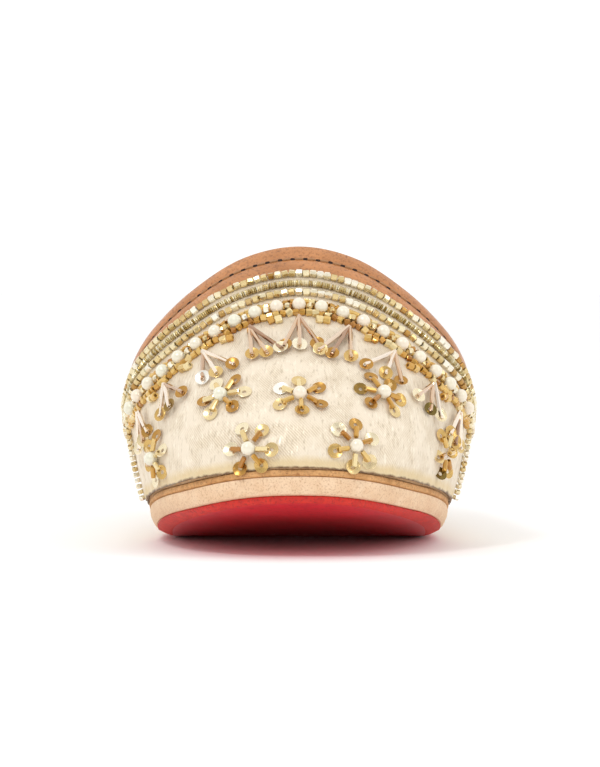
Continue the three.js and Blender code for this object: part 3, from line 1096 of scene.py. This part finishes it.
def build_sprays():
    """Fans of three bugles with a sequin at each tip; between fans, a pair of amber beads stands
    for a painted shadow and reflection.
    """
    chance = np.random.default_rng(7)
    bugles, discs, hole_beads, pairs = [], [], [], []
    limit, beside = SEAM_TURN - 0.02, 0.004
    turns, heights = border_line(PEARL_ROW + SPRAY_DROP, -limit, limit, 220)
    at, level = spaced_places(turns, heights, SPRAY_PITCH)
    for turn, height in zip(at, level):
        apex = place_on_face(turn, height, APEX_LIFT)[0]
        ahead, behind = (
            face(turn + side, np.interp(turn + side, turns, heights)) for side in (beside, -beside)
        )
        tangent = unit(ahead - behind)
        _, level_way, climb, _ = place_on_face(turn, height, 0)
        row_angle = math.atan2(tangent @ climb, tangent @ level_way)
        steep = float(ease(abs(turn), 0.02, 0.1))  # fans near the sides are shorter and wider
        for angle in FAN_ANGLES:
            spread = math.radians(angle + chance.uniform(-4, 4)) * (0.62 + 0.38 * steep)
            spread += row_angle
            reach = (14.5 - 4.0 * steep) * chance.uniform(0.94, 1.05)
            end = shifted_place(turn, height, math.sin(spread) * reach, -math.cos(spread) * reach)
            tip, _, _, out = place_on_face(*end, 1.0)
            along = tip - apex
            span = np.linalg.norm(along)
            bugles.append(((apex + tip) / 2, out, along, span * 0.97, 1))
            tilted = out + np.array([0, -0.7, 0.3]) + chance.normal(0, 0.12, 3)
            discs.append((tip + out * 0.15 - along / span * 0.6, tilted, along, 1, 1))
            hole_beads.append((tip + out * 0.55, out, along, 0.62, 0.62))
    # Each pair of amber beads sits where a cast shadow and reflection fall beneath the beads, as
    # painted shadow and reflection.
    for turn in (at[1:] + at[:-1]) / 2:
        height = height_below_band([turn], drawn_in(turn, PEARL_ROW + PAIR_DROP))[0]
        for side in (-0.0022, 0.0022):
            spot, onward, _, normal = place_on_face(turn + side, height, 0.8)
            pairs.append((spot, normal, onward, 1.1, 1.1))
    sew_places("spray_bugles", "bugle", ROSE_BUGLES, bugles, Tilt=0.03)
    sew_places("spray_sequins", "sequin", SEQUINS, discs, Tilt=0.12, Seed=21)
    sew_places("spray_hole_beads", "seed", ROSE_BUGLES, hole_beads, Tilt=0.3)
    sew_places("border_bead_pairs", "tube", AMBER_BEADS, pairs, Tilt=0.3)


def build_flowers():
    """Six petals round a pearl, each a short bugle with a sequin at its tip."""
    chance = np.random.default_rng(12)
    hearts, bugles, discs = [], [], []
    for turn, height, first, has_pearl in FLOWERS:
        heart, level, _, normal = place_on_face(turn, height, 1.8)
        if has_pearl:
            hearts.append((heart, normal, level, 1, 1))
        for petal in range(6):
            angle = math.radians(first + 60 * petal + chance.uniform(-6, 6))
            way = np.array([math.cos(angle), math.sin(angle)])
            disc_reach = DISC_REACH + chance.uniform(-0.3, 0.4)
            for reach, lift, kind in ((BUGLE_REACH, 1.25, bugles), (disc_reach, 0.45, discs)):
                place = shifted_place(turn, height, *(way * reach))
                spot, across, climb, out = place_on_face(*place, lift)
                along = across * way[0] + climb * way[1]
                if kind is bugles:
                    bugles.append((spot, out, along - 0.1 * out, BUGLE_LENGTH, 1))
                else:
                    tilted = out + np.array([0, -0.4, 0.25]) + chance.normal(0, 0.14, 3)
                    discs.append((spot, tilted, along, 1, 1))
    sew_places("flower_pearls", "pearl", PEARLS, hearts, Tilt=0.5)
    sew_places("flower_bugles", "short_bugle", AMBER_BEADS, bugles, Tilt=0.12)
    sew_places("flower_sequins", "sequin", SEQUINS, discs, Tilt=0.15, Seed=4)


# ---- Put it together ----


def build_floor():
    mesh = bpy.data.meshes.new("floor")
    mesh.from_pydata([(-12, -3, 0), (12, -3, 0), (12, 20, 0), (-12, 20, 0)], [], [(0, 1, 2, 3)])
    mesh.materials.append(FLOOR)
    floor = new_object("floor", mesh)
    floor.location.z = -0.0001


def light_the_room():
    """A white room, bright above and behind the shoe, and dimmer in front of its toe."""
    world = bpy.data.worlds.new("white_room")
    bpy.context.scene.world = world
    world.use_nodes = True
    tree = world.node_tree
    background = tree.nodes["Background"]
    background.inputs["Color"].default_value = colour("#FFFFFF")
    place = add(tree, "ShaderNodeTexCoord")
    facing = add(
        tree, "ShaderNodeVectorMath", {0: place.outputs["Generated"], 1: (0.0, 0.8, 0.6)},
        operation="DOT_PRODUCT",
    )
    brightness = add(
        tree, "ShaderNodeMapRange",
        {"Value": facing.outputs["Value"], "From Min": -0.75, "From Max": 0.35, "To Min": 0.45,
         "To Max": 1.1},
    )
    tree.links.new(brightness.outputs[0], background.inputs["Strength"])


build_floor()
light_the_room()
build_sole()
build_sole_stitching()
build_upper()
build_band()
build_band_stitches()
build_border()
build_seams()
build_sprays()
build_flowers()
for shape in SHAPES.values():
    bpy.data.objects.remove(shape)
